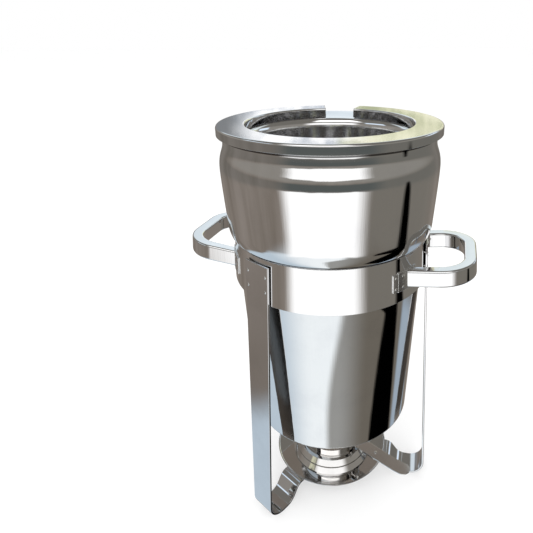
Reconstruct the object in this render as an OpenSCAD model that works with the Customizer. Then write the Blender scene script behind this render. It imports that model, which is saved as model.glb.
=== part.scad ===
// Soup station: a deep water pan that hangs in a three-legged stand over a small burner,
// with a lift-out soup pot and a loose cover ring that has a gap for the ladle.
// Origin: on the floor, on the axis of the pan. +X runs through the right-hand handle.

/* [Cover ring] */
// Outer diameter of the cover ring
ring_d = 300; // [296:1:320]
// Diameter of the opening that the ladle goes in through
ring_opening_d = 225; // [216:1:240]
// Depth of the ring's outer skirt
ring_skirt_h = 12; // [9:0.5:18]
// Depth of the collar inside the opening
ring_collar_h = 13; // [10:0.5:18]
// Sheet thickness of the ring
ring_sheet = 1; // [0.6:0.1:1.5]
// Radius of the bend between the ring's top and its skirt
ring_edge_r = 3; // [2:0.5:4]
// Radius of the bend between the ring's top and its collar
ring_collar_r = 2.5; // [1.5:0.5:4]
// Angle that the ladle gap takes out of the ring
ladle_gap_angle = 23; // [15:1:40]
// Direction of the ladle gap, counted from the right-hand handle
ladle_gap_turn = 97; // [80:1:110]

/* [Soup pot] */
// Diameter of the pot's mouth, below its shoulder
pot_mouth_d = 210; // [196:1:214]
// Diameter of the pot's flat bottom edge
pot_base_d = 200; // [170:1:202]
// Depth of the pot from its seat on the pan
pot_depth = 362; // [280:1:366]
// Sheet thickness of the pot
pot_sheet = 1; // [0.6:0.1:1.5]
// Radius of the bend between the pot's wall and its bottom
pot_corner_r = 14; // [6:1:20]
// Width of the rounded shoulder between flange and mouth
pot_shoulder_w = 7; // [5:0.5:9]
// Height of the rounded shoulder between flange and mouth
pot_shoulder_h = 13; // [8:1:20]
// How far the pot's flange reaches past the middle of the pan's rim bead
pot_flange_lap = 2.2; // [1.5:0.1:3]
// Slope of the pot's flange, in degrees
pot_flange_slope = 11; // [4:1:12]

/* [Water pan] */
// Diameter over the pan's rolled rim
pan_rim_d = 290.8; // [288:0.2:292]
// Radius of the rolled bead on the pan's rim
pan_bead_r = 2.2; // [1.5:0.1:3]
// Diameter of the neck below the cover ring
pan_neck_d = 285.2; // [281:0.2:287]
// Diameter of the widest part of the bowl
pan_bulge_d = 297.4; // [290:0.2:304]
// Diameter where the bowl starts to turn in above the stand
pan_waist_d = 287.4; // [280:0.2:292]
// Diameter of the pan's bottom
pan_foot_d = 241.2; // [232:0.2:246]
// Height of the bowl above the stand's hoop
pan_bowl_h = 143.5; // [130:0.5:170]
// Depth of the tapered lower part, below the top of the hoop
pan_cone_h = 294; // [284:1:300]
// Sheet thickness of the pan
pan_sheet = 1; // [0.6:0.1:1.5]
// Radius of the bend around the pan's bottom
pan_corner_r = 3; // [2:0.5:8]

/* [Stand] */
// Height of the hoop's top edge above the floor
stand_h = 427; // [415:0.5:450]
// Outer diameter of the hoop at its top edge
hoop_d = 272.2; // [270:0.1:277]
// Flare of the hoop and lean of the legs, in degrees
hoop_flare = 2.6; // [1:0.1:3.5]
// Height of the hoop
hoop_h = 61; // [56:1:80]
// Sheet thickness of the hoop
hoop_sheet = 1.2; // [0.8:0.1:2]
// Direction of the first leg, counted from the right-hand handle
leg_turn = 3; // [0:1:8]
// Width of a leg at its top
leg_top_w = 43; // [38:1:46]
// Width of a leg at its foot
leg_foot_w = 37; // [30:0.5:40]
// Thickness of a leg
leg_thick = 3; // [2:0.1:4]
// Drop from the hoop's top edge to the top of a leg
leg_drop = 7; // [4:1:12]
// Radius of the bend where a leg turns in along the floor
foot_bend_r = 26; // [20:1:32]
// Length of the flat that a foot rests on
foot_flat = 7; // [4:1:12]
// Radius of the bend where a foot turns up again
foot_rise_r = 20; // [14:1:24]
// Slope of a foot where it climbs to the tray, in degrees
foot_slope = 54; // [40:1:65]
// Radius of the bend at the top of that climb
foot_crest_r = 11; // [6:1:14]
// Distance from the axis to the inner end of a foot
foot_end_r = 45; // [35:1:60]

/* [Burner tray] */
// Diameter of the tray
tray_d = 184; // [176:1:192]
// Height of the tray's upper face above the floor
tray_h = 26.7; // [25:0.1:33]
// Sheet thickness of the tray
tray_sheet = 1.2; // [0.8:0.1:2]
// Height of the tray's turned-up lip
tray_lip_h = 2; // [1:0.5:5]

/* [Handles] */
// Distance from the axis to the outer face of a handle
handle_reach = 206; // [196:1:218]
// Width over the two arms of a handle
handle_span = 140.4; // [130:0.2:148]
// Radius of a handle's outer corners
handle_bend_r = 48; // [28:1:54]
// Width of the handle bar, seen from above
handle_bar_w = 16; // [13:0.5:19]
// Height of the handle bar
handle_bar_h = 23; // [18:0.5:24]
// Wall thickness of the hollow handle bar
handle_wall = 1.5; // [1:0.1:2.5]
// Radius of the bar's edges
handle_edge_r = 2.7; // [2:0.1:4]
// Upward tilt of a handle, in degrees
handle_tilt = 5; // [0:1:8]
// Drop from the hoop's top edge to the middle of a handle where it joins
handle_drop = 32.5; // [30:0.5:36]
// Sheet thickness of a handle bracket
bracket_sheet = 1.5; // [1:0.1:2.5]
// Height of a handle bracket
bracket_h = 27; // [25:0.5:30]
// Height of a bracket's narrow end
bracket_tab_h = 24; // [22:0.5:25]
// Width of the bracket's wing beside the handle arm
bracket_wing_w = 14.5; // [12:0.5:17]
// Width of the narrow end of that wing
bracket_tab_w = 6.5; // [5:0.5:8]

/* [Rivets] */
// Diameter of a rivet's shank
rivet_d = 2.4; // [2:0.1:3]
// Diameter of a rivet's head
rivet_head_d = 4; // [3.6:0.1:5]
// Height of a rivet's head
rivet_head_h = 0.7; // [0.4:0.1:1.2]
// Distance between the two columns of rivets on a leg
leg_rivet_across = 33; // [22:1:34]
// Distance between the two rows of rivets on a leg
leg_rivet_down = 20.5; // [14:0.5:24]
// Distance between the two rows of rivets on a bracket
bracket_rivet_down = 15; // [10:0.5:16]

/* [Burner] */
// How far from the axis the loose burner stands on the tray
burner_set = 8; // [0:1:12]
// Direction in which it stands off the axis, counted from the right-hand handle
burner_set_turn = -75; // [-90:1:-60]
// Diameter of the burner's base
burner_base_d = 127; // [122:1:132]
// Height of the base's lower step
burner_step_h = 8; // [6:0.5:10]
// Diameter over the base's upper step
burner_mid_d = 117; // [112:1:121]
// Height of the base's upper step
burner_mid_h = 10; // [7:0.5:14]
// Sheet thickness of the base and the cup
burner_sheet = 1; // [0.6:0.1:1.2]
// Diameter of the fuel cup
cup_d = 98; // [92:1:101]
// Height of the fuel cup
cup_h = 35; // [30:1:42]
// Direction of the damper's handle, counted from the right-hand handle
damper_turn = -24; // [-36:1:-20]
// How far the damper covers past the cup's wall
damper_lap = 1; // [0:0.5:3]
// Thickness of the damper plate
damper_sheet = 1; // [0.8:0.1:1.5]
// Width of the damper's handle
damper_grip_w = 21; // [16:1:24]
// Thickness of the damper's handle
damper_grip_thick = 1.6; // [1:0.1:2.5]
// Distance from the burner's middle to the end of the damper's handle
damper_reach = 149; // [132:1:152]
// Length of the turned-up end of the damper's handle
damper_tab = 22; // [15:1:30]
// Slope of that turned-up end, in degrees
damper_tab_slope = 8; // [0:1:15]
// Distance from the cup's wall to the damper's pivot
pivot_out = 7; // [6:0.5:10]
// Diameter of the pivot pin
pivot_d = 4; // [3:0.1:5]
// Diameter of the pivot pin's heads
pivot_head_d = 8; // [7:0.5:10]
// Height of the pivot pin's heads
pivot_head_h = 1.2; // [0.8:0.1:2]
// Thickness of the lug that holds the pivot
lug_thick = 1.5; // [1:0.1:2.5]
// Distance from the pivot to the rivet that joins handle and damper
grip_rivet_out = 33; // [25:1:38]
// Diameter of that rivet's shank
grip_rivet_d = 3; // [2:0.1:4]
// Diameter of that rivet's head
grip_rivet_head_d = 5; // [4.5:0.1:7]

/* [Hidden] */
// Height left between a loose piece and its seat
seat_gap = 0.3;
// Gap between sheets that are welded or riveted together
weld_gap = 0.05;
// Room around a turning pin, on each side
running_gap = 0.05;
// Side room between the pan and the inside of the hoop
hoop_play = 0.6;
// How far cutting tools run past what they cut
past = 5;
// Facets given to round solids
$fn = 96;

hoop_r = hoop_d / 2;
hoop_in_r = hoop_r - hoop_sheet / cos(hoop_flare);
hoop_z = stand_h - hoop_h;
// Outer radius of the flared hoop at a height above the floor
function hoop_at(z) = hoop_r + (stand_h - z) * tan(hoop_flare);
// Outer radius of what lies on the hoop, up to a thickness, at that height
function on_hoop(z, t) = hoop_at(z) + t / cos(hoop_flare);
steel = [0.80, 0.80, 0.81];
dark_steel = [0.62, 0.61, 0.60];

// Points along an arc, from angle a0 to a1
function arc(c, r, a0, a1, n) =
    [for (i = [0:n]) let (a = a0 + (a1 - a0) * i / n) c + r * [cos(a), sin(a)]];

// Points along a curve with two control points
function curve(p0, p1, p2, p3, n) = [for (i = [0:n]) let (t = i / n, s = 1 - t)
    s * s * s * p0 + 3 * s * s * t * p1 + 3 * s * t * t * p2 + t * t * t * p3];

// The same line moved sideways: t > 0 to the left of its direction
function beside(p, t) = [for (i = [0:len(p) - 1])
    let (a = p[max(i - 1, 0)], b = p[min(i + 1, len(p) - 1)], d = (b - a) / norm(b - a))
    p[i] + t * [-d[1], d[0]]];

function backwards(p) = [for (i = [len(p) - 1:-1:0]) p[i]];

// Outline of a strip of sheet that lies along a line
function strip(p, t) = concat(p, backwards(beside(p, t)));

function without_first(p) = [for (i = [1:len(p) - 1]) p[i]];

// Rectangle with round corners, centred
function round_rect(w, h, r, n) = concat(
    arc([w / 2 - r, h / 2 - r], r, 0, 90, n), arc([r - w / 2, h / 2 - r], r, 90, 180, n),
    arc([r - w / 2, r - h / 2], r, 180, 270, n), arc([w / 2 - r, r - h / 2], r, 270, 360, n));

// Sheet spun round the axis, lying along an outline
module spun(p, t) {
    rotate_extrude() polygon(strip(p, t));
}

// Side view in X and Z, given a width along Y
module bar_across(p, w) {
    translate([0, w / 2, 0]) rotate([90, 0, 0]) linear_extrude(w) polygon(p);
}

// Stand: the hoop that the pan's shoulder rests on

// Places where the rivets of a leg go: across the leg and up from the floor
leg_top_z = stand_h - leg_drop;
leg_rivet_z = leg_top_z - 14;
leg_rivet_spots = [for (y = [-1, 1], k = [0, 1]) [y * leg_rivet_across / 2, leg_rivet_z - k * leg_rivet_down]];

// Turns about the axis, and heights, of the rivets of a bracket
handle_z = stand_h - handle_drop;
arm_out_y = handle_span / 2;
bracket_out = weld_gap + bracket_sheet;
bracket_r = on_hoop(handle_z, bracket_out);
wing_end_y = arm_out_y + bracket_wing_w;
bracket_rivet_y = [arm_out_y + bracket_wing_w / 2, wing_end_y + bracket_tab_w / 2];
bracket_rivet_spots = [for (y = bracket_rivet_y, k = [-1, 1])
    [asin(y / bracket_r), handle_z + k * bracket_rivet_down / 2]];

module each_leg() {
    for (k = [0:2]) rotate(leg_turn + 120 * k) children();
}

module each_bracket() {
    for (x = [0, 1], y = [0, 1]) mirror([x, 0, 0]) mirror([0, y, 0]) children();
}

// Puts something on the leaning face of the stand, at a distance and a height
module on_flare(x, y, z) {
    translate([x, y, z]) rotate([0, -hoop_flare, 0]) children();
}

module rivet_hole() {
    translate([-past, 0, 0]) rotate([0, 90, 0]) cylinder(d = rivet_d + 2 * weld_gap, h = 2 * past);
}

module leg_rivet_holes() {
    for (s = leg_rivet_spots) on_flare(hoop_at(s[1]), s[0], s[1]) rivet_hole();
}

module bracket_rivet_holes() {
    for (s = bracket_rivet_spots) rotate(s[0]) on_flare(hoop_at(s[1]), 0, s[1]) rivet_hole();
}

module hoop() {
    low_z = hoop_z - past;
    high_z = stand_h + past;
    color(steel) difference() {
        translate([0, 0, hoop_z]) cylinder(r1 = hoop_at(hoop_z), r2 = hoop_r, h = hoop_h);
        translate([0, 0, low_z]) cylinder(r1 = on_hoop(low_z, -hoop_sheet),
            r2 = on_hoop(high_z, -hoop_sheet), h = high_z - low_z);
        each_leg() leg_rivet_holes();
        each_bracket() bracket_rivet_holes();
    }
}

// Legs: flat bar, bent in along the floor and up again to carry the tray

// Distance from the axis to a leg's outer face at a height above the floor
function leg_x(z) = on_hoop(z, weld_gap + leg_thick);
foot_in_x = leg_x(foot_bend_r * (1 + sin(hoop_flare))) - foot_bend_r * cos(hoop_flare) - foot_flat;
arm_z = tray_h - tray_sheet - weld_gap - leg_thick;
climb_start = [foot_in_x, foot_rise_r] - foot_rise_r * [sin(foot_slope), cos(foot_slope)];
climb_h = arm_z - climb_start[1] - foot_crest_r * (1 - cos(foot_slope));
climb_end = climb_start + climb_h * [-1 / tan(foot_slope), 1];
crest = climb_end - foot_crest_r * [sin(foot_slope), cos(foot_slope)];
leg_line = concat(
    [[leg_x(leg_top_z), leg_top_z]],
    arc([foot_in_x + foot_flat, foot_bend_r], foot_bend_r, hoop_flare, -90, 12),
    arc([foot_in_x, foot_rise_r], foot_rise_r, -90, -90 - foot_slope, 8),
    arc(crest, foot_crest_r, 90 - foot_slope, 90, 8),
    [[foot_end_r, arm_z]]);

module leg_front() {
    rotate([90, 0, 90]) linear_extrude(leg_x(0) + past) polygon([
        [-leg_top_w / 2, leg_top_z + past], [leg_top_w / 2, leg_top_z + past],
        [leg_foot_w / 2, foot_bend_r], [leg_foot_w / 2, -past],
        [-leg_foot_w / 2, -past], [-leg_foot_w / 2, foot_bend_r]]);
}

module leg(k) {
    color(dark_steel) rotate(leg_turn + 120 * k) difference() {
        intersection() {
            bar_across(strip(leg_line, -leg_thick), leg_top_w + 2 * past);
            leg_front();
        }
        leg_rivet_holes();
    }
}

// Rivet: head outside, shank through both sheets, closed flat inside. Its head sits at x = 0.
module rivet(d, head_d, head_h, grip) {
    rotate([0, 90, 0]) {
        cylinder(d1 = head_d, d2 = head_d * 0.7, h = head_h);
        translate([0, 0, -grip]) cylinder(d = d, h = grip);
        translate([0, 0, -grip - head_h]) cylinder(d = head_d, h = head_h);
    }
}

module leg_rivets() {
    side_y = (leg_rivet_across + rivet_head_d) / 2;
    inside = hoop_in_r - sqrt(pow(hoop_in_r, 2) - pow(side_y, 2));
    color(steel) each_leg() for (s = leg_rivet_spots)
        on_flare(hoop_at(s[1]), s[0], s[1]) translate([leg_thick + 2 * weld_gap, 0, 0])
            rivet(rivet_d, rivet_head_d, rivet_head_h, leg_thick + hoop_sheet + inside + 3 * weld_gap);
}

// Handles: hollow flat bar bent to a D, on curved brackets riveted to the hoop

module handle_bar(w, h, r) {
    bar = round_rect(w, h, r, 4);
    straight = handle_reach - handle_bend_r;
    mid_y = arm_out_y - handle_bar_w / 2;
    for (s = [0, 1]) mirror([0, s, 0]) {
        translate([0, mid_y, 0]) rotate([90, 0, 90]) linear_extrude(straight) polygon(bar);
        translate([straight, arm_out_y - handle_bend_r, 0]) rotate_extrude(angle = 90)
            translate([handle_bend_r - handle_bar_w / 2, 0]) polygon(bar);
    }
    translate([handle_reach - handle_bar_w / 2, handle_bend_r - arm_out_y, 0])
        rotate([-90, 0, 0]) linear_extrude(handle_span - 2 * handle_bend_r) polygon(bar);
}

module handle() {
    root_x = sqrt(pow(bracket_r, 2) - pow(arm_out_y, 2));
    color(steel) difference() {
        translate([root_x, 0, handle_z]) rotate([0, -handle_tilt, 0]) translate([-root_x, 0, 0])
            difference() {
                handle_bar(handle_bar_w, handle_bar_h, handle_edge_r);
                handle_bar(handle_bar_w - 2 * handle_wall, handle_bar_h - 2 * handle_wall,
                    handle_edge_r - handle_wall);
            }
        translate([0, 0, hoop_z]) cylinder(r1 = on_hoop(hoop_z, bracket_out + weld_gap),
            r2 = on_hoop(stand_h, bracket_out + weld_gap), h = hoop_h);
    }
}

// Curved plate on the hoop between two distances from the handle's middle
module saddle(y0, y1, h) {
    a0 = asin(y0 / bracket_r);
    low_z = handle_z - h / 2;
    high_z = handle_z + h / 2;
    rotate(a0) rotate_extrude(angle = asin(y1 / bracket_r) - a0) polygon([
        [on_hoop(low_z, weld_gap), low_z], [on_hoop(low_z, bracket_out), low_z],
        [on_hoop(high_z, bracket_out), high_z], [on_hoop(high_z, weld_gap), high_z]]);
}

module bracket(x, y) {
    lap_y = arm_out_y - handle_bar_w - handle_wall;
    color(steel) mirror([x, 0, 0]) mirror([0, y, 0]) difference() {
        saddle(lap_y, wing_end_y + bracket_tab_w, bracket_h);
        translate([0, 0, handle_z]) rotate(asin(wing_end_y / bracket_r)) for (k = [0, 1])
            mirror([0, 0, k]) translate([hoop_in_r - past, 0, bracket_tab_h / 2])
                cube([4 * past, 2 * bracket_wing_w, bracket_h]);
        bracket_rivet_holes();
    }
}

module bracket_rivets() {
    color(dark_steel) each_bracket() for (s = bracket_rivet_spots)
        rotate(s[0]) on_flare(hoop_at(s[1]), 0, s[1]) translate([bracket_out + weld_gap, 0, 0])
            rivet(rivet_d, rivet_head_d, rivet_head_h,
                bracket_out + hoop_sheet + 2 * weld_gap + rivet_d / 10);
}

// Tray: round plate with a turned-up lip, welded on the feet

tray_r = tray_d / 2;
tray_z = tray_h - tray_sheet;

module burner_tray() {
    lip_r = tray_sheet + tray_lip_h;
    color(dark_steel) spun(concat([[0, tray_z]],
        arc([tray_r - lip_r, tray_z + lip_r], lip_r, -90, 0, 6)), tray_sheet);
}

// Water pan: spun bowl, tapered body and bottom, welded together

pan_seat_z = stand_h + seat_gap;
pan_top_z = pan_seat_z + pan_bowl_h;
bead_c = [pan_rim_d / 2 - pan_bead_r, pan_top_z - pan_bead_r];
cone_top_r = hoop_in_r - hoop_play;
cone_foot_r = pan_foot_d / 2;
pan_z = stand_h - pan_cone_h;
neck = [pan_neck_d / 2, pan_top_z - 12.5];
bulge = [pan_bulge_d / 2, pan_top_z - 45];
waist = [pan_waist_d / 2, pan_seat_z + 17];
shoulder = [cone_top_r - pan_sheet, pan_seat_z];
bowl_line = concat(
    curve(bead_c, bead_c - [0.7, 3.2], neck + [0, 4], neck, 5),
    without_first(curve(neck, neck - [0, 11], bulge + [0, 18.5], bulge, 12)),
    without_first(curve(bulge, bulge - [0, 14], waist + [2.3, 32], waist, 10)),
    without_first(curve(waist, waist - [0.8, 7.2], [waist[0] - 3.6, pan_seat_z + 1.3],
        [cone_top_r + hoop_sheet, pan_seat_z + 0.2], 8)),
    [shoulder]);

module pan_bowl() {
    color(steel) union() {
        spun(bowl_line, -pan_sheet);
        rotate_extrude() translate(bead_c) circle(r = pan_bead_r, $fn = 32);
    }
}

cone_low = [cone_foot_r, pan_z + pan_corner_r];

module pan_cone() {
    color(steel) spun([[cone_top_r, pan_seat_z - weld_gap], cone_low + [0, weld_gap]], -pan_sheet);
}

module pan_base() {
    color(steel) spun(concat(
        arc([cone_foot_r - pan_corner_r, pan_z + pan_corner_r], pan_corner_r, 0, -90, 6),
        [[0, pan_z]]), -pan_sheet);
}

// Soup pot: deep pot whose sloping flange rests on the pan's rim

mouth_r = pot_mouth_d / 2;
flange_in_r = mouth_r + pot_shoulder_w;
// Height of the underside of the pot's flange at a distance from the axis
function flange_z(r) = bead_c[1] + (pan_bead_r + seat_gap) / cos(pot_flange_slope)
    + (r - bead_c[0]) * tan(pot_flange_slope);
flange_out = [bead_c[0] + pot_flange_lap, flange_z(bead_c[0] + pot_flange_lap)];
flange_in = [flange_in_r, flange_z(flange_in_r)];
mouth = [mouth_r, flange_in[1] - pot_shoulder_h];
pot_z = pan_top_z - pot_depth;
pot_line = concat(
    [flange_out],
    curve(flange_in, flange_in - [4, 0.8], mouth + [0, 7], mouth, 8),
    arc([pot_base_d / 2 - pot_corner_r, pot_z + pot_corner_r], pot_corner_r, 0, -90, 8),
    [[0, pot_z]]);

module soup_pot() {
    color(steel) spun(pot_line, -pot_sheet);
}

// Cover ring: hollow sheet ring that sits on the pot's flange, open at the ladle gap

ring_r = ring_d / 2;
opening_r = ring_opening_d / 2;
flange_top_gap = pot_sheet / cos(pot_flange_slope) + seat_gap;
collar_z = flange_z(opening_r + ring_sheet) + flange_top_gap;
ring_z = collar_z + ring_collar_h;
ring_line = concat(
    [[ring_r, ring_z - ring_skirt_h]],
    arc([ring_r - ring_edge_r, ring_z - ring_edge_r], ring_edge_r, 0, 90, 6),
    arc([opening_r + ring_collar_r, ring_z - ring_collar_r], ring_collar_r, 90, 180, 6),
    [[opening_r, collar_z]]);

module ring_shell() {
    color(steel) rotate(ladle_gap_turn + ladle_gap_angle / 2)
        rotate_extrude(angle = 360 - ladle_gap_angle) polygon(strip(ring_line, ring_sheet));
}

// Plate that closes one end of the ring, cut to clear the pot's flange
module ring_end(side) {
    clear_r = flange_out[0] + 1.5;
    plate = concat(ring_line, [
        [opening_r + ring_sheet, collar_z],
        [clear_r, flange_z(clear_r) + flange_top_gap],
        [clear_r, ring_z - ring_skirt_h]]);
    color(steel) rotate(ladle_gap_turn) mirror([0, side, 0]) rotate(ladle_gap_angle / 2)
        translate([0, -weld_gap, 0]) rotate([90, 0, 0]) linear_extrude(ring_sheet) polygon(plate);
}

// Burner: stepped base and fuel cup that lift off the tray, with a swinging damper over the cup

burner_r = burner_base_d / 2;
burner_z = tray_h + seat_gap;
cup_r = cup_d / 2;
cup_top_z = burner_z + cup_h;

// Puts something where the loose burner stands on the tray
module at_burner() {
    translate(burner_set * [cos(burner_set_turn), sin(burner_set_turn), 0]) children();
}

module burner_base() {
    mid_r = burner_mid_d / 2;
    mid_z = burner_z + burner_step_h;
    color(steel) at_burner() spun([
        [burner_r, burner_z], [mid_r + 1, mid_z], [mid_r, mid_z + 0.4],
        [mid_r - 5, mid_z + burner_mid_h], [cup_r + weld_gap, mid_z + burner_mid_h + 0.4]],
        -burner_sheet);
}

module fuel_cup() {
    color(steel) at_burner() spun(concat([[0, burner_z]], arc([cup_r - 2, burner_z + 2], 2, -90, 0, 5),
        [[cup_r, cup_top_z]]), burner_sheet);
}

pivot_r = cup_r + pivot_out;
lug_top_z = cup_top_z;
damper_z = cup_top_z + seat_gap;
grip_z = damper_z + damper_sheet + weld_gap;
grip_top_z = grip_z + damper_grip_thick;
grip_rivet_r = pivot_r + grip_rivet_out;

module pivot_lug() {
    color(steel) at_burner() rotate(damper_turn) difference() {
        translate([0, 0, lug_top_z - lug_thick]) linear_extrude(lug_thick) union() {
            translate([0, -pivot_head_d / 2]) square([pivot_r, pivot_head_d]);
            translate([pivot_r, 0]) circle(d = pivot_head_d);
        }
        translate([0, 0, burner_z]) cylinder(r = cup_r + weld_gap, h = cup_h + past);
        translate([pivot_r, 0, burner_z]) cylinder(d = pivot_d + 2 * running_gap, h = cup_h + past);
    }
}

module pivot_pin() {
    low_z = lug_top_z - lug_thick - weld_gap;
    high_z = grip_top_z + seat_gap;
    color(dark_steel) at_burner() rotate(damper_turn) translate([pivot_r, 0, 0]) {
        translate([0, 0, low_z - pivot_head_h]) cylinder(d = pivot_head_d, h = pivot_head_h);
        translate([0, 0, low_z]) cylinder(d = pivot_d, h = high_z - low_z);
        translate([0, 0, high_z]) cylinder(d = pivot_head_d, h = pivot_head_h);
    }
}

module damper_plate() {
    tongue_end = grip_rivet_r + grip_rivet_head_d;
    color(steel) at_burner() rotate(damper_turn) difference() {
        translate([0, 0, damper_z]) linear_extrude(damper_sheet) union() {
            circle(r = cup_r + damper_lap);
            translate([0, -damper_grip_w / 2]) square([tongue_end, damper_grip_w]);
        }
        translate([pivot_r, 0, damper_z - past])
            cylinder(d = pivot_d + 2 * running_gap, h = 2 * past);
        translate([grip_rivet_r, 0, damper_z - past])
            cylinder(d = grip_rivet_d + 2 * weld_gap, h = 2 * past);
    }
}

module damper_grip() {
    bend_x = damper_reach - damper_tab;
    side_line = [[cup_r, grip_z], [bend_x, grip_z],
        [damper_reach, grip_z + damper_tab * tan(damper_tab_slope)]];
    color(steel) at_burner() rotate(damper_turn) difference() {
        intersection() {
            bar_across(strip(side_line, damper_grip_thick), damper_grip_w + past);
            translate([0, 0, grip_z - past]) linear_extrude(damper_tab + 2 * past) union() {
                translate([0, -damper_grip_w / 2])
                    square([damper_reach - damper_grip_w / 2, damper_grip_w]);
                translate([damper_reach - damper_grip_w / 2, 0]) circle(d = damper_grip_w);
            }
        }
        translate([pivot_r, 0, grip_z - past])
            cylinder(d = pivot_d + 2 * running_gap, h = 2 * past);
        translate([grip_rivet_r, 0, grip_z - past])
            cylinder(d = grip_rivet_d + 2 * weld_gap, h = 2 * past);
    }
}

module grip_rivet() {
    color(dark_steel) at_burner() rotate(damper_turn) translate([grip_rivet_r, 0, grip_top_z + weld_gap])
        rotate([0, -90, 0])
            rivet(grip_rivet_d, grip_rivet_head_d, rivet_head_h, grip_top_z - damper_z + 2 * weld_gap);
}

hoop();
leg(0);  // leg_1
leg(1);  // leg_2
leg(2);  // leg_3
leg_rivets();
handle();  // handle_right
mirror([1, 0, 0]) handle();  // handle_left
bracket(0, 1);  // bracket_right_front
bracket(0, 0);  // bracket_right_back
bracket(1, 1);  // bracket_left_front
bracket(1, 0);  // bracket_left_back
bracket_rivets();
burner_tray();
pan_bowl();
pan_cone();
pan_base();
soup_pot();
ring_shell();
ring_end(0);  // ring_end_near
ring_end(1);  // ring_end_far
burner_base();
fuel_cup();
pivot_lug();
pivot_pin();
damper_plate();
damper_grip();
grip_rivet();
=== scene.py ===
"""Soup station in polished steel: a water pan that hangs in a three-legged stand over a small
burner, with a lift-out soup pot and a loose cover ring. Sizes are in millimetres."""

from math import asin, cos, degrees, pi, radians, sin, sqrt, tan

import bmesh
import bpy
from mathutils import Matrix, Vector
from mathutils.geometry import interpolate_bezier


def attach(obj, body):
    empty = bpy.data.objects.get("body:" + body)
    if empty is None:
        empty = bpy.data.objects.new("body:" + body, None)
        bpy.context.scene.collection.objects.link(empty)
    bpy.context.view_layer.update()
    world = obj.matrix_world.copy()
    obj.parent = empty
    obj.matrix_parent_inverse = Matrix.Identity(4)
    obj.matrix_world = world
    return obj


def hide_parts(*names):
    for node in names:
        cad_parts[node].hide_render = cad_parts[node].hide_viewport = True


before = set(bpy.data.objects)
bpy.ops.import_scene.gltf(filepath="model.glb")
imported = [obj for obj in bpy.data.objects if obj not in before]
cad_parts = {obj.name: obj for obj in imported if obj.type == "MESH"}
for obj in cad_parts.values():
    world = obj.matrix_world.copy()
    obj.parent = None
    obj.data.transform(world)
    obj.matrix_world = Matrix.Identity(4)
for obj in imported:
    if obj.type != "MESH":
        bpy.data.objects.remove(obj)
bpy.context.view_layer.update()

# Hoop: a flared band of 1.2 mm stainless sheet, rolled, welded at the back and polished bright.
# The pan's shoulder rests on its top edge, and the legs and the handle brackets are riveted to it.

STAND_TOP = 427
HOOP_FOOT = 366
HOOP_TOP_R = 136.1
HOOP_SHEET = 1.2
FLARE = radians(2.6)
FRONT = radians(-75)
ROUND = 240
SHARP = radians(38)
MERGE = 0.002
# Heights of the near-black lines of painted shade that run round the polished steel, one at each
# crease.
CREASE_SHADE_LINES = (430.4, 565)
# Heights over which the backs of the legs turn dark, as painted shade.
BACK_SHADE_ABOVE = (70, 110)


def hoop_at(height):
    """Outer radius of the flared hoop."""
    return HOOP_TOP_R + (STAND_TOP - height) * tan(FLARE)


class Term:
    """A value inside a shader. Sums and products of Terms add Math nodes."""

    def __init__(self, recipe, socket):
        self.recipe, self.socket = recipe, socket

    def _math(self, operation, first, second):
        return self.recipe.node("ShaderNodeMath", {"operation": operation}, {0: first, 1: second})

    def __add__(self, other):
        return self._math("ADD", self, other)

    def __radd__(self, other):
        return self._math("ADD", other, self)

    def __sub__(self, other):
        return self._math("SUBTRACT", self, other)

    def __rsub__(self, other):
        return self._math("SUBTRACT", other, self)

    def __mul__(self, other):
        return self._math("MULTIPLY", self, other)

    def __rmul__(self, other):
        return self._math("MULTIPLY", other, self)

    def __truediv__(self, other):
        return self._math("DIVIDE", self, other)

    def __rtruediv__(self, other):
        return self._math("DIVIDE", other, self)


class Recipe:
    """The nodes of one material or of the world, made one at a time."""

    def __init__(self, tree):
        self.tree = tree
        tree.nodes.clear()

    def node(self, kind, settings, inputs, output=0):
        """A node with its settings made first, then the values or links of its sockets."""
        made = self.tree.nodes.new(kind)
        for name, value in settings.items():
            setattr(made, name, value)
        for name, value in inputs.items():
            if isinstance(value, Term):
                self.tree.links.new(value.socket, made.inputs[name])
            else:
                made.inputs[name].default_value = value
        return Term(self, made.outputs[output]) if made.outputs else made

    def place(self, output="Object"):
        return self.node("ShaderNodeTexCoord", {}, {}, output)

    def stretched(self, place, scale):
        """The same place with each axis stretched."""
        return self.node("ShaderNodeVectorMath", {"operation": "MULTIPLY"}, {0: place, 1: scale})

    def noise(self, place, scale, detail=2.0, roughness=0.5):
        return self.node("ShaderNodeTexNoise", {},
                         {"Vector": place, "Scale": scale, "Detail": detail, "Roughness": roughness})

    def rise(self, value, start, end):
        """Goes smoothly from 0 to 1 as the value goes from start to end."""
        return self.node("ShaderNodeMapRange", {"interpolation_type": "SMOOTHSTEP"},
                         {"Value": value, "From Min": start, "From Max": end})

    def mixed(self, mask, under, over):
        """Colour under where the mask is 0 and colour over where it is 1."""
        colours = {6: under, 7: over}
        for key, colour in colours.items():
            if not isinstance(colour, Term):
                colours[key] = (*colour, 1)
        return self.node("ShaderNodeMix", {"data_type": "RGBA"}, {0: mask, **colours}, 2)


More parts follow.
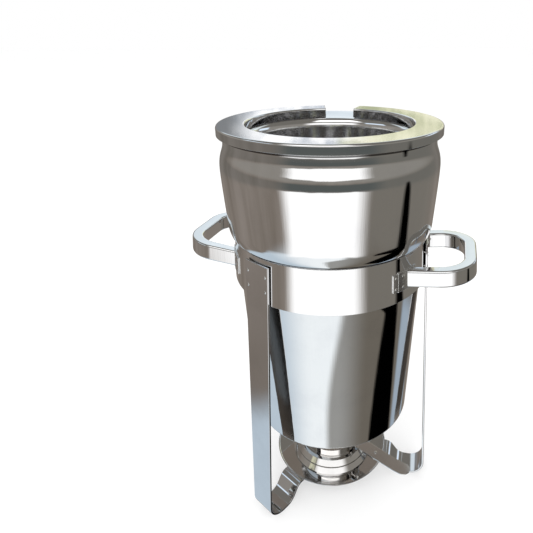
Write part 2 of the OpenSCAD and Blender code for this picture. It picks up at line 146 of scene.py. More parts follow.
def steel(name, colour, worn, gloss, streaks, ripple, shaded_creases=(), painted_shade_back=False):
    """Stainless steel: polish marks along the streaks, smears of handling and a slow ripple.
    Painted shade: a near-black line at each crease height, in the gaps between parts. A back that
    faces the station's axis is made rougher and painted dark as shade."""
    material = bpy.data.materials.new(name)
    material.use_nodes = True
    recipe = Recipe(material.node_tree)
    place = recipe.place()
    smears = recipe.rise(recipe.noise(place, 19, 4, 0.62), 0.42, 0.72)
    marks = recipe.noise(recipe.stretched(place, streaks), 1, 2, 0.55)
    waves = recipe.noise(place, 11, 1)
    height = waves * ripple + marks * 0.00002
    normal = recipe.node("ShaderNodeBump", {}, {"Strength": 1, "Distance": 1, "Height": height},
                         "Normal")
    tone = recipe.mixed(smears * 0.55 + marks * 0.3, colour, worn)
    rough = gloss + smears * 0.03 + marks * 0.025
    radius = recipe.node("ShaderNodeVectorMath", {"operation": "LENGTH"},
                         {0: recipe.stretched(place, (1, 1, 0))}, "Value")
    high = recipe.node("ShaderNodeSeparateXYZ", {}, {0: place}, "Z")
    # Painted shade: a near-black line round each crease height, on steel more than 130 mm from the
    # axis.
    for crease_shade_height in shaded_creases:
        near = recipe.node("ShaderNodeMath", {"operation": "ABSOLUTE"},
                           {0: high - crease_shade_height / 1000})
        painted_crease_shade = (1 - recipe.rise(near, 0.0008, 0.0015)) * recipe.rise(radius, 0.128, 0.13)
        tone = recipe.mixed(painted_crease_shade * 0.85, tone, (0.02, 0.018, 0.016))
    # Painted shade: the back of a strap that faces the axis is darkened above the given heights. It
    # is also made rougher.
    if painted_shade_back:
        hoop_line = hoop_at(0) / 1000 - high * tan(FLARE)
        back = (1 - recipe.rise(radius - hoop_line, 0.0018, 0.0029)) * recipe.rise(
            high, *(height / 1000 for height in BACK_SHADE_ABOVE))
        tone = recipe.mixed(back, tone, (0.2, 0.19, 0.18))
        rough = rough + back * 0.22
    shader = recipe.node("ShaderNodeBsdfPrincipled", {}, {
        "Base Color": tone, "Metallic": 1, "Roughness": rough, "Normal": normal}, "BSDF")
    recipe.node("ShaderNodeOutputMaterial", {}, {"Surface": shader})
    return material


def new_piece(name, bm, material, slot, body, *nodes, wall=0, edge=0.3, flat=False, turn=0):
    """Makes the mesh an object in metres. Sheet gets its wall inwards and small rounded edges."""
    bmesh.ops.remove_doubles(bm, verts=bm.verts, dist=MERGE)
    bmesh.ops.recalc_face_normals(bm, faces=bm.faces)
    if turn:
        bmesh.ops.rotate(bm, cent=(0, 0, 0), matrix=Matrix.Rotation(turn, 3, "Z"), verts=bm.verts)
    bmesh.ops.scale(bm, vec=(0.001,) * 3, verts=bm.verts)
    mesh = bpy.data.meshes.new(name)
    bm.to_mesh(mesh)
    bm.free()
    mesh.shade_smooth()
    mesh.set_sharp_from_angle(angle=SHARP)
    mesh.materials.append(material)
    piece = bpy.data.objects.new(name, mesh)
    bpy.context.collection.objects.link(piece)
    if wall:
        sheet = piece.modifiers.new("sheet", "SOLIDIFY")
        sheet.thickness = wall / 1000
        sheet.offset = -1
        sheet.use_even_offset = True
    if edge:
        rounding = piece.modifiers.new("rounding", "BEVEL")
        rounding.width = edge / 1000
        rounding.segments = 3
        rounding.limit_method = "ANGLE"
        rounding.angle_limit = SHARP
        rounding.harden_normals = not flat
    if flat:
        weighted = piece.modifiers.new("flat_faces", "WEIGHTED_NORMAL")
        weighted.keep_sharp = True
    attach(piece, body)
    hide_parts(*nodes)
    return piece


def outline(bm, points, bends=(), bend_steps=8):
    """A line of (distance, height) points, with the inner ones rounded to their bend radii."""
    corners = [Vector((x, 0, z)) for x, z in points]
    line = [bm.verts.new(corner) for corner in corners]
    for pair in zip(line, line[1:]):
        bm.edges.new(pair)
    for k, radius in enumerate(bends, 1):
        if radius:
            turned = (corners[k] - corners[k - 1]).angle(corners[k + 1] - corners[k])
            bmesh.ops.bevel(bm, geom=[line[k]], offset=radius * tan(turned / 2),
                            offset_type="OFFSET", segments=bend_steps, profile=0.5,
                            affect="VERTICES", material=-1)


def spun(bm, angle=2 * pi, steps=ROUND):
    """Spins everything in the mesh round the axis."""
    bmesh.ops.spin(bm, geom=bm.verts[:] + bm.edges[:], cent=(0, 0, 0), axis=(0, 0, 1),
                   angle=angle, steps=steps, use_merge=angle == 2 * pi)


# Polished steel, with a near-black line of painted shade at each crease.
bright_steel = steel("bright_steel", (0.82, 0.82, 0.82), (0.75, 0.75, 0.76), 0.02,
                     (500, 500, 7), 0.00012, shaded_creases=CREASE_SHADE_LINES)

hoop = bmesh.new()
outline(hoop, [(hoop_at(HOOP_FOOT), HOOP_FOOT), (HOOP_TOP_R, STAND_TOP)])
spun(hoop)
new_piece("stand_hoop", hoop, bright_steel, "polished_steel", "stand", "hoop", wall=HOOP_SHEET)

# Legs: three lengths of 3 mm polished flat bar, riveted to the hoop and narrowing downwards.
# Each is bent in along the floor to make a foot and climbs again to end as an arm under the tray.

LEG_THICK = 3
LEG_TOP = 420
LEG_TOP_W = 43
LEG_FOOT_W = 37
LEG_TURNS = [radians(3 + 120 * k) for k in range(3)]
FOOT_BEND = 26
FOOT_FLAT = 7
FOOT_RISE_BEND = 20
FOOT_SLOPE = radians(54)
FOOT_CREST_BEND = 11
ARM_LOW = 22.45
ARM_END = 45
JOIN = 0.05


def leg_out_at(height):
    """Distance from the axis to a leg's outer face."""
    return hoop_at(height) + (JOIN + LEG_THICK) / cos(FLARE)


# Strap steel, whose backs facing the axis carry painted shade.
strap_steel = steel("strap_steel", (0.78, 0.78, 0.79), (0.70, 0.70, 0.71), 0.05,
                    (420, 420, 5), 0.00022, painted_shade_back=True)
floor_turn = leg_out_at(0)
flat_out = leg_out_at(FOOT_BEND * (1 + sin(FLARE))) - FOOT_BEND * cos(FLARE)
flat_in = flat_out - FOOT_FLAT - FOOT_RISE_BEND * tan(FOOT_SLOPE / 2)
for number, turn in enumerate(LEG_TURNS, 1):
    leg = bmesh.new()
    outline(leg, [(leg_out_at(LEG_TOP), LEG_TOP), (floor_turn, 0), (flat_in, 0),
                  (flat_in - ARM_LOW / tan(FOOT_SLOPE), ARM_LOW), (ARM_END, ARM_LOW)],
            (FOOT_BEND, FOOT_RISE_BEND, FOOT_CREST_BEND), 14)
    far_side = bmesh.ops.extrude_edge_only(leg, edges=leg.edges[:])["geom"]
    far_side = [part for part in far_side if isinstance(part, bmesh.types.BMVert)]
    bmesh.ops.translate(leg, vec=(0, 2, 0), verts=far_side)
    bmesh.ops.translate(leg, vec=(0, -1, 0), verts=leg.verts)
    for point in leg.verts:
        up = max(0, (point.co.z - FOOT_BEND) / (LEG_TOP - FOOT_BEND))
        point.co.y *= (LEG_FOOT_W + (LEG_TOP_W - LEG_FOOT_W) * up) / 2
    new_piece(f"leg_strap_{number}", leg, strap_steel, "strap_steel", "stand", f"leg_{number}",
              wall=LEG_THICK, edge=0.6, flat=True, turn=turn)

# Rivets of the legs: four to a leg, stainless steel, with low round heads outside.
# Each passes through the bar and the hoop and is closed flat on the inside.

RIVET_R = 1.2
RIVET_HEAD_R = 2
RIVET_HEAD_H = 0.7
LEG_RIVET_SIDE = 16.5
LEG_RIVET_ROWS = (406, 385.5)


def add_rivet(bm, place, shank_r, head_r, head_h, grip):
    """A rivet along +Z of its place, its outer head standing on the origin."""
    old = set(bm.verts)
    profile = [(0, head_h), (0.5 * head_r, 0.86 * head_h), (0.85 * head_r, 0.5 * head_h),
               (head_r, 0), (shank_r, 0), (shank_r, -grip), (head_r, -grip),
               (0.9 * head_r, -grip - head_h), (0, -grip - head_h)]
    line = [bm.verts.new((x, 0, z)) for x, z in profile]
    edges = [bm.edges.new(pair) for pair in zip(line, line[1:])]
    bmesh.ops.spin(bm, geom=line + edges, cent=(0, 0, 0), axis=(0, 0, 1), angle=2 * pi,
                   steps=24, use_merge=True)
    bmesh.ops.transform(bm, matrix=place, verts=[v for v in bm.verts if v not in old])


def on_flare(turn, side, height):
    """The place of a rivet on the hoop, turned so that +Z points out of the sheet."""
    return (Matrix.Rotation(turn, 4, "Z") @ Matrix.Translation((hoop_at(height), side, height))
            @ Matrix.Rotation(pi / 2 - FLARE, 4, "Y"))


rivet_steel = steel("rivet_steel", (0.85, 0.84, 0.82), (0.7, 0.69, 0.67), 0.16,
                    (300, 300, 300), 0.00005)
hoop_in = HOOP_TOP_R - HOOP_SHEET
rivet_side = LEG_RIVET_SIDE + RIVET_HEAD_R
curve_depth = hoop_in - sqrt(hoop_in ** 2 - rivet_side ** 2)
leg_grip = LEG_THICK + HOOP_SHEET + curve_depth + 3 * JOIN
leg_rivets = bmesh.new()
for turn in LEG_TURNS:
    for side in (-LEG_RIVET_SIDE, LEG_RIVET_SIDE):
        for height in LEG_RIVET_ROWS:
            seat = on_flare(turn, side, height) @ Matrix.Translation((0, 0, LEG_THICK + 2 * JOIN))
            add_rivet(leg_rivets, seat, RIVET_R, RIVET_HEAD_R, RIVET_HEAD_H, leg_grip)
new_piece("leg_rivet_heads", leg_rivets, rivet_steel, "rivet_steel", "stand", "leg_rivets",
          edge=0.1)

# Handle brackets: four curved plates of 1.5 mm sheet, each riveted to the hoop beside a handle arm.
# The part behind the arm is tall and ends in a lower tab, with two rivets in each.

BRACKET_SHEET = 1.5
BRACKET_H = 27
TAB_H = 24
HANDLE_Z = 394.5
ARM_OUT = 70.2
BAR_W = 16
WING_W = 14.5
TAB_W = 6.5
BRACKET_LAP = 1.5
BRACKET_RIVET_UP = 7.5

bracket_steel = steel("bracket_steel", (0.8, 0.8, 0.8), (0.6, 0.59, 0.57), 0.24,
                      (300, 300, 300), 0.0003)
bracket_out = JOIN + BRACKET_SHEET
bracket_r = hoop_at(HANDLE_Z) + bracket_out / cos(FLARE)
lap_turn, wing_turn, tab_turn = (asin(y / bracket_r) for y in (
    ARM_OUT - BAR_W - BRACKET_LAP, ARM_OUT + WING_W, ARM_OUT + WING_W + TAB_W))


def add_saddle(bm, start, end, high, steps):
    """Upright curved sheet on the bracket's outer cone, between two turns about the axis."""
    edge_points = []
    for height in (HANDLE_Z - high / 2, HANDLE_Z + high / 2):
        radius = hoop_at(height) + bracket_out / cos(FLARE)
        edge_points.append(bm.verts.new((radius * cos(start), radius * sin(start), height)))
    edge = bm.edges.new(edge_points)
    bmesh.ops.spin(bm, geom=[*edge_points, edge], cent=(0, 0, 0), axis=(0, 0, 1),
                   angle=end - start, steps=steps)


def mirrored(bm, flip_x, flip_y):
    """Mirrors the whole mesh across the planes asked for."""
    bmesh.ops.scale(bm, vec=(1 - 2 * flip_x, 1 - 2 * flip_y, 1), verts=bm.verts)


BRACKETS = {"bracket_right_front": (0, 1), "bracket_right_back": (0, 0),
            "bracket_left_front": (1, 1), "bracket_left_back": (1, 0)}
bracket_rivets = bmesh.new()
rivet_turns = [asin(y / bracket_r) for y in (ARM_OUT + WING_W / 2, ARM_OUT + WING_W + TAB_W / 2)]
for node, (flip_x, flip_y) in BRACKETS.items():
    bracket = bmesh.new()
    add_saddle(bracket, lap_turn, wing_turn, BRACKET_H, 14)
    add_saddle(bracket, wing_turn, tab_turn, TAB_H, 4)
    mirrored(bracket, flip_x, flip_y)
    new_piece(f"{node}_plate", bracket, bracket_steel, "strap_steel", "stand", node,
              wall=BRACKET_SHEET, edge=0.4)
    one_side = bmesh.new()
    for turn in rivet_turns:
        for up in (-BRACKET_RIVET_UP, BRACKET_RIVET_UP):
            seat = on_flare(turn, 0, HANDLE_Z + up) @ Matrix.Translation((0, 0, bracket_out + JOIN))
            add_rivet(one_side, seat, RIVET_R, RIVET_HEAD_R, RIVET_HEAD_H,
                      bracket_out + HOOP_SHEET + 2 * JOIN + RIVET_R / 5)
    mirrored(one_side, flip_x, flip_y)
    scratch = bpy.data.meshes.new("bracket_rivets")
    one_side.to_mesh(scratch)
    bracket_rivets.from_mesh(scratch)
    one_side.free()
    bpy.data.meshes.remove(scratch)
new_piece("bracket_rivet_heads", bracket_rivets, rivet_steel, "rivet_steel", "stand",
          "bracket_rivets", edge=0.1)

# Handles: flat-sided stainless tube, 16 by 23 mm, bent to a D and welded to its two brackets.
# Both tilt up a little, so a gloved hand slips in under the bowl.

HANDLE_REACH = 206
HANDLE_BEND = 48
BAR_H = 23
BAR_EDGE = 2.7
HANDLE_TILT = radians(5)
HANDLE_WALL = 1.5
ROOT_SPARE = 8

arm_mid = ARM_OUT - BAR_W / 2
root_x = sqrt(bracket_r ** 2 - ARM_OUT ** 2)
straight_end = HANDLE_REACH - HANDLE_BEND


def moved_on(bm, edges, vec):
    """Extrudes a loop of edges along a straight stretch of bar and returns the new loop."""
    made = bmesh.ops.extrude_edge_only(bm, edges=edges)["geom"]
    bmesh.ops.translate(bm, vec=vec, verts=[p for p in made if isinstance(p, bmesh.types.BMVert)])
    return [p for p in made if isinstance(p, bmesh.types.BMEdge) and len(p.link_faces) == 1]


def bent_on(bm, edges, cent, angle):
    """Carries a loop of edges round a bend and returns the new loop."""
    points = {point for edge in edges for point in edge.verts}
    made = bmesh.ops.spin(bm, geom=[*points, *edges], cent=cent, axis=(0, 0, 1), angle=angle,
                          steps=20)["geom_last"]
    return [p for p in made if isinstance(p, bmesh.types.BMEdge)]


for name, flip_x in (("right", 0), ("left", 1)):
    handle = bmesh.new()
    section = [handle.verts.new((root_x - ROOT_SPARE, arm_mid + y * BAR_W / 2, z * BAR_H / 2))
               for y, z in ((-1, -1), (1, -1), (1, 1), (-1, 1))]
    for k in range(4):
        handle.edges.new((section[k - 1], section[k]))
    bmesh.ops.bevel(handle, geom=section, offset=BAR_EDGE, offset_type="OFFSET", segments=5,
                    profile=0.5, affect="VERTICES", material=-1)
    root = handle.verts[:]
    loop = moved_on(handle, handle.edges[:], (straight_end - root_x + ROOT_SPARE, 0, 0))
    loop = bent_on(handle, loop, (straight_end, ARM_OUT - HANDLE_BEND, 0), -pi / 2)
    loop = moved_on(handle, loop, (0, 2 * (HANDLE_BEND - ARM_OUT), 0))
    loop = bent_on(handle, loop, (straight_end, HANDLE_BEND - ARM_OUT, 0), -pi / 2)
    loop = moved_on(handle, loop, (root_x - ROOT_SPARE - straight_end, 0, 0))
    root += [point for edge in loop for point in edge.verts]
    bmesh.ops.translate(handle, vec=(-root_x, 0, 0), verts=handle.verts)
    bmesh.ops.rotate(handle, cent=(0, 0, 0), matrix=Matrix.Rotation(-HANDLE_TILT, 3, "Y"),
                     verts=handle.verts)
    bmesh.ops.translate(handle, vec=(root_x, 0, HANDLE_Z), verts=handle.verts)
    for point in set(root):
        weld_r = hoop_at(point.co.z) + (bracket_out + JOIN) / cos(FLARE)
        point.co.x = sqrt(weld_r ** 2 - point.co.y ** 2)
    mirrored(handle, flip_x, 0)
    new_piece(f"handle_{name}_tube", handle, bright_steel, "polished_steel", "stand",
              f"handle_{name}", wall=HANDLE_WALL, edge=0.2, flat=True)

# Burner tray: a spun disc of 1.2 mm sheet with a low turned-up lip, welded on the ends of the feet.
# It is polished on top, so the burner shows in it.

TRAY_R = 92
TRAY_LOW = 25.5
TRAY_SHEET = 1.2
TRAY_LIP_TOP = 28.7

burner_steel = steel("burner_steel", (0.78, 0.77, 0.76), (0.68, 0.67, 0.66), 0.025,
                     (60, 60, 60), 0.00007)
tray = bmesh.new()
outline(tray, [(0, TRAY_LOW), (TRAY_R, TRAY_LOW), (TRAY_R, TRAY_LIP_TOP)], (3.2,), 6)
spun(tray)
new_piece("tray_disc", tray, burner_steel, "burner_steel", "stand", "burner_tray",
          wall=TRAY_SHEET, edge=0.3, flat=True)

# Water pan: spun and polished from 1 mm sheet in three parts that are welded together.
# The bowl has a rolled rim, a neck, a wide bulge and a shoulder that rests on the hoop.

PAN_SHEET = 1
SEAT_Z = 427.3
PAN_TOP = 570.8
BEAD_R = 2.2
BEAD_MID = (143.2, 568.6)
NECK = (142.6, 558.3)
BULGE = (148.7, 525.8)
WAIST = (143.7, 444.3)
CONE_TOP_R = 134.3
CONE_FOOT_R = 120.6
PAN_FOOT = 133
PAN_CORNER = 3


def curve(start, pull_start, pull_end, end, steps):
    """Points along a curve with two control points, without the first one."""
    points = [Vector((x, 0, z)) for x, z in (start, pull_start, pull_end, end)]
    return [(p.x, p.z) for p in interpolate_bezier(*points, steps + 1)[1:]]


bowl = bmesh.new()
outline(bowl, [BEAD_MID, *curve(BEAD_MID, (BEAD_MID[0] - 0.7, BEAD_MID[1] - 3.2),
                                (NECK[0], NECK[1] + 4), NECK, 12),
               *curve(NECK, (NECK[0], NECK[1] - 11), (BULGE[0], BULGE[1] + 18.5), BULGE, 24),
               *curve(BULGE, (BULGE[0], BULGE[1] - 14), (WAIST[0] + 2.3, WAIST[1] + 32), WAIST, 20),
               *curve(WAIST, (WAIST[0] - 0.8, WAIST[1] - 7.2), (WAIST[0] - 3.6, SEAT_Z + 1.3),
                      (CONE_TOP_R + 1.2, SEAT_Z + 0.2), 12),
               (CONE_TOP_R - 1, SEAT_Z)])
spun(bowl)
new_piece("pan_bowl_shell", bowl, bright_steel, "polished_steel", "water_pan", "pan_bowl",
          wall=PAN_SHEET, edge=0.15)
bead = bmesh.new()
bmesh.ops.create_circle(bead, segments=20, radius=BEAD_R, matrix=Matrix.Translation(
    (BEAD_MID[0], 0, BEAD_MID[1])) @ Matrix.Rotation(pi / 2, 4, "X"))
spun(bead)
new_piece("pan_rolled_rim", bead, bright_steel, "polished_steel", "water_pan", edge=0)

cone = bmesh.new()
outline(cone, [(CONE_TOP_R, SEAT_Z - JOIN), (CONE_FOOT_R, PAN_FOOT + PAN_CORNER + JOIN)])
spun(cone)
new_piece("pan_cone_shell", cone, bright_steel, "polished_steel", "water_pan", "pan_cone",
          wall=PAN_SHEET, edge=0.15)

base = bmesh.new()
outline(base, [(CONE_FOOT_R, PAN_FOOT + PAN_CORNER), (CONE_FOOT_R, PAN_FOOT), (0, PAN_FOOT)],
        (PAN_CORNER,), 8)
spun(base)
new_piece("pan_base_disc", base, bright_steel, "polished_steel", "water_pan", "pan_base",
          wall=PAN_SHEET, edge=0.15, flat=True)

# Soup pot: one deep drawing of 1 mm sheet, polished inside and out.
# Its sloping flange rests on the pan's rim, and a rounded shoulder runs down to the mouth.

FLANGE_SLOPE = radians(11)
MOUTH_R = 105
FLANGE_IN_R = 112
SHOULDER_H = 13
POT_DEPTH = 362
POT_BASE_R = 100
POT_CORNER = 14
FLANGE_LAP = 2.2
SHOULDER_STEPS = 12
REST = 0.3


def flange_at(radius):
    """Height of the underside of the pot's flange."""
    return (BEAD_MID[1] + (BEAD_R + REST) / cos(FLANGE_SLOPE)
            + (radius - BEAD_MID[0]) * tan(FLANGE_SLOPE))


flange_out = BEAD_MID[0] + FLANGE_LAP
mouth_z = flange_at(FLANGE_IN_R) - SHOULDER_H
pot_foot = PAN_TOP - POT_DEPTH
shoulder_start = (FLANGE_IN_R, flange_at(FLANGE_IN_R))
pot = bmesh.new()
pot_shoulder = curve(shoulder_start, (FLANGE_IN_R - 4, shoulder_start[1] - 0.8),
                     (MOUTH_R, mouth_z + 7), (MOUTH_R, mouth_z), SHOULDER_STEPS)
outline(pot, [(flange_out, flange_at(flange_out)), shoulder_start, *pot_shoulder,
              (POT_BASE_R, pot_foot), (0, pot_foot)],
        (0,) * (SHOULDER_STEPS + 1) + (POT_CORNER,), 10)
spun(pot)
new_piece("pot_shell", pot, bright_steel, "polished_steel", "soup_pot", "soup_pot",
          wall=PAN_SHEET, edge=0.2)

# Cover ring: a hollow ring folded from 1 mm sheet, with a skirt outside and a collar inside.
# It lies loose on the pot's flange and is cut through at the back for the ladle.

RING_R = 150
OPENING_R = 112.5
RING_TOP = 580
SKIRT_H = 12
COLLAR_H = 13
RING_SHEET = 1
GAP_MID = radians(97)
GAP = radians(23)
END_CLEAR = 1.5

collar_foot = flange_at(OPENING_R + RING_SHEET) + PAN_SHEET / cos(FLANGE_SLOPE) + REST
RING_LINE = [(RING_R, RING_TOP - SKIRT_H), (RING_R, RING_TOP), (OPENING_R, RING_TOP),
             (OPENING_R, collar_foot)]
RING_BENDS = (3, 2.5)
ring = bmesh.new()
outline(ring, RING_LINE, RING_BENDS)
spun(ring, 2 * pi - GAP, 225)
new_piece("cover_ring_shell", ring, bright_steel, "polished_steel", "cover_ring", "ring_shell",
          wall=RING_SHEET, edge=0.25, flat=True, turn=GAP_MID + GAP / 2)

clear_r = flange_out + END_CLEAR
for name, side in (("near", 1), ("far", -1)):
    end_plate = bmesh.new()
    outline(end_plate, [*RING_LINE, (OPENING_R + RING_SHEET, collar_foot),
                        (clear_r, flange_at(clear_r) + PAN_SHEET / cos(FLANGE_SLOPE) + REST),
                        (clear_r, RING_TOP - SKIRT_H)], RING_BENDS)
    end_plate.verts.ensure_lookup_table()
    ends = [v for v in end_plate.verts if len(v.link_edges) == 1]
    end_plate.edges.new(ends)
    bmesh.ops.contextual_create(end_plate, geom=end_plate.edges[:])
    thick = bmesh.ops.extrude_face_region(end_plate, geom=end_plate.faces[:])["geom"]
    bmesh.ops.translate(end_plate, vec=(0, RING_SHEET, 0),
                        verts=[v for v in thick if isinstance(v, bmesh.types.BMVert)])
    bmesh.ops.translate(end_plate, vec=(0, -RING_SHEET - JOIN, 0), verts=end_plate.verts)
    bmesh.ops.rotate(end_plate, cent=(0, 0, 0), matrix=Matrix.Rotation(GAP / 2, 3, "Z"),
                     verts=end_plate.verts)
    mirrored(end_plate, 0, side < 0)
    new_piece(f"ring_end_{name}_plate", end_plate, bright_steel, "polished_steel", "cover_ring",
              f"ring_end_{name}", edge=0.2, turn=GAP_MID)

# Burner: a stepped base pressed from 1 mm sheet, with the fuel cup standing in it.
# It is loose on the tray, set a little towards the front.

BURNER_X, BURNER_Y = 8 * cos(FRONT), 8 * sin(FRONT)
BURNER_Z = 27
BURNER_R = 63.5
STEP_H = 8
MID_R = 58.5
MID_H = 10
BAND_FOOT = 0.9
BAND_EDGE = 1.4
BURNER_SHEET = 1
CUP_R = 49
CUP_TOP = 62


def at_burner(bm, turn=0):
    """Puts what was made on the axis where the loose burner stands."""
    bmesh.ops.rotate(bm, cent=(0, 0, 0), matrix=Matrix.Rotation(turn, 3, "Z"), verts=bm.verts)
    bmesh.ops.translate(bm, vec=(BURNER_X, BURNER_Y, 0), verts=bm.verts)


step_z = BURNER_Z + STEP_H
ledge_z = step_z + MID_H
burner_base = bmesh.new()
outline(burner_base, [(BURNER_R + BAND_FOOT, BURNER_Z), (BURNER_R + BAND_FOOT, BURNER_Z + BAND_EDGE),
                      (MID_R + 0.8, step_z + 0.9), (MID_R + 0.6, step_z + 3),
                      (MID_R - 4.9, ledge_z + 1.1), (CUP_R + JOIN, ledge_z + BAND_EDGE)],
        (0.5, 0.8, 0.5, 1), 3)
spun(burner_base, steps=160)
at_burner(burner_base)
new_piece("burner_base_shell", burner_base, burner_steel, "burner_steel", "fuel_cup",
          "burner_base", wall=BURNER_SHEET, edge=0.2, flat=True)

cup = bmesh.new()
outline(cup, [(0, BURNER_Z), (CUP_R, BURNER_Z), (CUP_R, CUP_TOP)], (2,), 6)
spun(cup, steps=160)
at_burner(cup)
new_piece("fuel_cup_shell", cup, burner_steel, "burner_steel", "fuel_cup", "fuel_cup",
          wall=BURNER_SHEET, edge=0.3, flat=True)

# Damper: a lid over the cup on a handle of flat bar, which swings about a pin in a lug of the cup.
# A rivet joins lid and handle, and the handle's rounded end is turned up a little.

DAMPER_TURN = radians(-24)
LID_R = 50
LID_Z = 62.3
LID_SHEET = 1
GRIP_W = 21
GRIP_THICK = 1.6
GRIP_REACH = 149
GRIP_TAB = 22
GRIP_TAB_SLOPE = radians(8)
PIVOT = 56
PIVOT_R = 2
PIVOT_HEAD_R = 4
PIVOT_HEAD_H = 1.2
LUG_THICK = 1.5
GRIP_RIVET = 89
GRIP_RIVET_R = 1.5
GRIP_RIVET_HEAD_R = 2.5

grip_z = LID_Z + LID_SHEET + JOIN
grip_top = grip_z + GRIP_THICK


def flat_bar(bm, start, end, width, height, tip_bend):
    """A flat strip along +X with a rounded far end, as one face."""
    corners = [bm.verts.new((x, y * width / 2, height))
               for x, y in ((start, -1), (end, -1), (end, 1), (start, 1))]
    bm.faces.new(corners)
    bmesh.ops.bevel(bm, geom=corners[1:3], offset=tip_bend, offset_type="OFFSET", segments=10,
                    profile=0.5, affect="VERTICES", material=-1)


lid = bmesh.new()
bmesh.ops.create_circle(lid, cap_ends=False, segments=120, radius=LID_R,
                        matrix=Matrix.Translation((0, 0, LID_Z + LID_SHEET)))
bmesh.ops.delete(lid, context="VERTS", geom=[
    v for v in lid.verts if v.co.x > 0 and abs(v.co.y) < GRIP_W / 2 - 0.5])
shoulders = sorted((v for v in lid.verts if len(v.link_edges) == 1), key=lambda v: v.co.y)
tongue = [lid.verts.new((x, y * GRIP_W / 2, LID_Z + LID_SHEET)) for x, y in (
    (shoulders[0].co.x, -1), (GRIP_RIVET + 5, -1), (GRIP_RIVET + 5, 1), (shoulders[1].co.x, 1))]
for pair in zip([shoulders[0], *tongue], [*tongue, shoulders[1]]):
    lid.edges.new(pair)
bmesh.ops.contextual_create(lid, geom=lid.edges[:])
bmesh.ops.triangulate(lid, faces=lid.faces[:])
at_burner(lid, DAMPER_TURN)
new_piece("damper_lid", lid, burner_steel, "burner_steel", "damper", "damper_plate",
          wall=LID_SHEET, edge=0.25)

grip = bmesh.new()
flat_bar(grip, CUP_R, GRIP_REACH, GRIP_W, grip_top, GRIP_W / 2 - 0.01)
bend_x = GRIP_REACH - GRIP_TAB
bmesh.ops.bisect_plane(grip, geom=grip.verts[:] + grip.edges[:] + grip.faces[:],
                       plane_co=(bend_x, 0, 0), plane_no=(1, 0, 0))
for point in grip.verts:
    point.co.z += max(0, point.co.x - bend_x) * tan(GRIP_TAB_SLOPE)
at_burner(grip, DAMPER_TURN)
new_piece("damper_handle", grip, rivet_steel, "strap_steel", "damper", "damper_grip",
          wall=GRIP_THICK, edge=0.4)

joint_rivet = bmesh.new()
add_rivet(joint_rivet, Matrix.Translation((GRIP_RIVET, 0, grip_top + JOIN)), GRIP_RIVET_R,
          GRIP_RIVET_HEAD_R, RIVET_HEAD_H, grip_top - LID_Z + 2 * JOIN)
at_burner(joint_rivet, DAMPER_TURN)
new_piece("damper_rivet_head", joint_rivet, rivet_steel, "rivet_steel", "damper", "grip_rivet",
          edge=0.1)

pin = bmesh.new()
lug_low = CUP_TOP - LUG_THICK
add_rivet(pin, Matrix.Translation((PIVOT, 0, grip_top + REST)), PIVOT_R, PIVOT_HEAD_R,
          PIVOT_HEAD_H, grip_top + REST - lug_low + JOIN)
at_burner(pin, DAMPER_TURN)
new_piece("damper_pin", pin, rivet_steel, "rivet_steel", "fuel_cup", "pivot_pin", edge=0.15)

lug = bmesh.new()
flat_bar(lug, CUP_R + JOIN, PIVOT + PIVOT_HEAD_R, 2 * PIVOT_HEAD_R, CUP_TOP, PIVOT_HEAD_R - 0.01)
at_burner(lug, DAMPER_TURN)
new_piece("damper_lug", lug, burner_steel, "burner_steel", "fuel_cup", "pivot_lug",
          wall=LUG_THICK, edge=0.2)

# Studio floor: a wide pale sheet that takes the station's soft shadow.
# Polished steel doesn't see it, because the world's own ground stands for it in reflections.

floor_mesh = bmesh.new()
bmesh.ops.create_grid(floor_mesh, x_segments=1, y_segments=1, size=60)
floor_data = bpy.data.meshes.new("studio_floor")
floor_mesh.to_mesh(floor_data)
floor_mesh.free()
floor = bpy.data.objects.new("studio_floor", floor_data)
bpy.context.collection.objects.link(floor)
paper = bpy.data.materials.new("white_paper")
paper.use_nodes = True
recipe = Recipe(paper.node_tree)
grain = recipe.noise(recipe.place(), 60, 3)
paper_shader = recipe.node("ShaderNodeBsdfPrincipled", {}, {
    "Base Color": recipe.mixed(grain, (0.9, 0.9, 0.9), (0.93, 0.93, 0.93)), "Roughness": 0.9},
    "BSDF")
white = recipe.node("ShaderNodeEmission", {}, {"Color": (1, 1, 1, 1), "Strength": 1})
seen = recipe.node("ShaderNodeLightPath", {}, {}, "Is Camera Ray")
mixed_paper = recipe.node("ShaderNodeMixShader", {}, {0: seen * 0.5, 1: paper_shader, 2: white})
recipe.node("ShaderNodeOutputMaterial", {}, {"Surface": mixed_paper})
floor_data.materials.append(paper)
floor.visible_glossy = False

# Lamps: two large soft panels above the front, and one behind.
# They only light the floor and the dull parts, since polished steel shows the world instead.

for name, place, size, power in (("key_panel", (-0.9, -1.3, 1.9), 1.6, 16),
                                 ("fill_panel", (1.4, -0.7, 1.5), 1.4, 8),
                                 ("back_panel", (0.2, 1.5, 1.8), 1.5, 8)):
    lamp = bpy.data.lights.new(name, "AREA")
    lamp.size, lamp.energy = size, power
    lamp_object = bpy.data.objects.new(name, lamp)
    lamp_object.location = place
    lamp_object.rotation_euler = (Vector((0, 0, 0.3)) - Vector(place)).to_track_quat(
        "-Z", "Y").to_euler()
    lamp_object.visible_glossy = False
    bpy.context.collection.objects.link(lamp_object)

# World: white to the camera, and to polished steel the studio that it mirrors.
# A white panel and pale ground lie in front, dull walls at the sides, and a dark slot on the right.

world = bpy.data.worlds.new("studio")
bpy.context.scene.world = world
world.use_nodes = True
recipe = Recipe(world.node_tree)
ray = recipe.place("Generated")


def along(direction):
    """How far the ray goes along a direction."""
    return recipe.node("ShaderNodeVectorMath", {"operation": "DOT_PRODUCT"},
                       {0: ray, 1: direction}, "Value")


def shows(red, green, blue):
    """The light that polished steel has to meet to show this colour."""
    return tuple(channel ** 2.2 / 0.8 for channel in (red, green, blue))


